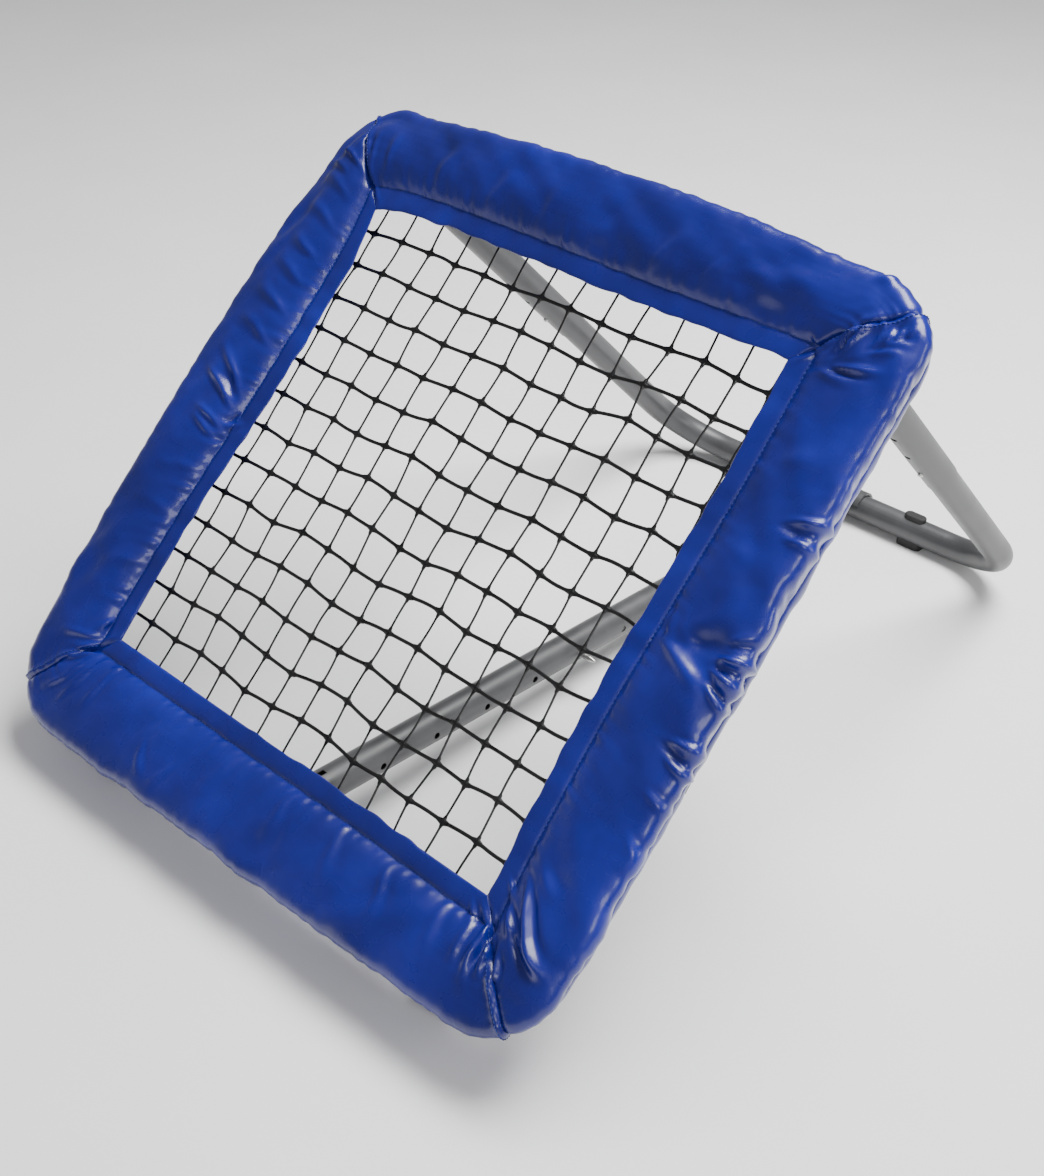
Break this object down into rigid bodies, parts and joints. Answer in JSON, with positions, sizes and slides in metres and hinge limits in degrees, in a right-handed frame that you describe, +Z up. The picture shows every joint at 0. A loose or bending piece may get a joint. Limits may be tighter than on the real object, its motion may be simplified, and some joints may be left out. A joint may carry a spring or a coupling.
{
  "type": "pitch back rebounder",
  "caption": "Square padded net frame that leans back on a folding U-shaped stand and a telescoping strut, for returning a thrown or kicked ball.",
  "frame": {"origin": "on the floor, under the middle of the whole object", "axes": "+X to the right seen from the thrower's side, +Y to the back, +Z up"},
  "size_m": [0.96, 1.3359, 0.7657],
  "materials": {
    "frame_steel": "satin grey powder coat",
    "zinc_fastener": "zinc plated",
    "black_rubber": "matt black rubber",
    "black_nylon": "black nylon",
    "net_plastic": "black moulded mesh",
    "blue_vinyl": "glossy blue coated fabric",
    "foam": "white closed-cell foam",
    "webbing": "black elastic webbing"
  },
  "bodies": {
    "frame": {"frame_tube_top": "frame_steel", "frame_tube_left": "frame_steel", "frame_tube_bottom": "frame_steel", "frame_tube_right": "frame_steel", "corner_elbow_top_right": "frame_steel", "corner_elbow_top_left": "frame_steel", "corner_elbow_bottom_left": "frame_steel", "corner_elbow_bottom_right": "frame_steel", "frame_screws": "zinc_fastener", "hinge_lug_left": "frame_steel", "hinge_lug_right": "frame_steel", "strut_lug": "frame_steel", "hinge_bolts": "zinc_fastener", "hinge_nuts": "zinc_fastener", "hinge_washers": "zinc_fastener", "hinge_bushings": "black_nylon", "strut_bolt": "zinc_fastener", "strut_nut": "zinc_fastener", "strut_washers": "zinc_fastener", "strut_bushings": "black_nylon", "front_foot_left": "black_rubber", "front_foot_right": "black_rubber", "front_foot_screws": "zinc_fastener", "net": "net_plastic", "net_ties_top": "black_nylon", "foam_top": "foam", "cover_top": "blue_vinyl", "cover_straps_top": "webbing", "net_ties_left": "black_nylon", "foam_left": "foam", "cover_left": "blue_vinyl", "cover_straps_left": "webbing", "net_ties_bottom": "black_nylon", "foam_bottom": "foam", "cover_bottom": "blue_vinyl", "cover_straps_bottom": "webbing", "net_ties_right": "black_nylon", "foam_right": "foam", "cover_right": "blue_vinyl", "cover_straps_right": "webbing"},
    "rear_stand": {"leg_tube_left": "frame_steel", "leg_tube_right": "frame_steel", "base_tube": "frame_steel", "leg_buttons": "zinc_fastener", "rear_foot_left": "black_rubber", "rear_foot_right": "black_rubber", "rear_cap_left": "black_rubber", "rear_cap_right": "black_rubber"},
    "strut_tube": {"strut_outer": "frame_steel"},
    "strut_slider": {"strut_inner": "frame_steel", "saddle": "frame_steel", "lock_pin": "zinc_fastener"}
  },
  "joints": [
    {"name": "leg_fold", "type": "hinge", "parent": "frame", "child": "rear_stand", "pos_m": [0, 0.01602, 0.63512], "axis": [-1, 0, 0], "range_deg": [0, 85]},
    {"name": "strut_fold", "type": "hinge", "parent": "frame", "child": "strut_tube", "pos_m": [0, -0.51679, 0.08339], "axis": [1, 0, 0], "range_deg": [0, 46.9]},
    {"name": "strut_slide", "type": "slide", "parent": "strut_tube", "child": "strut_slider", "axis": [0, -0.9988, 0.0483], "range_m": [0, 0.4], "deforming": ["lock_pin"]}
  ],
  "couplings": [
    {"joint": "strut_fold", "follows": "leg_fold", "ratio": 0.55175},
    {"joint": "strut_slide", "follows": "leg_fold", "m_per_rad": 0.26962}
  ]
}
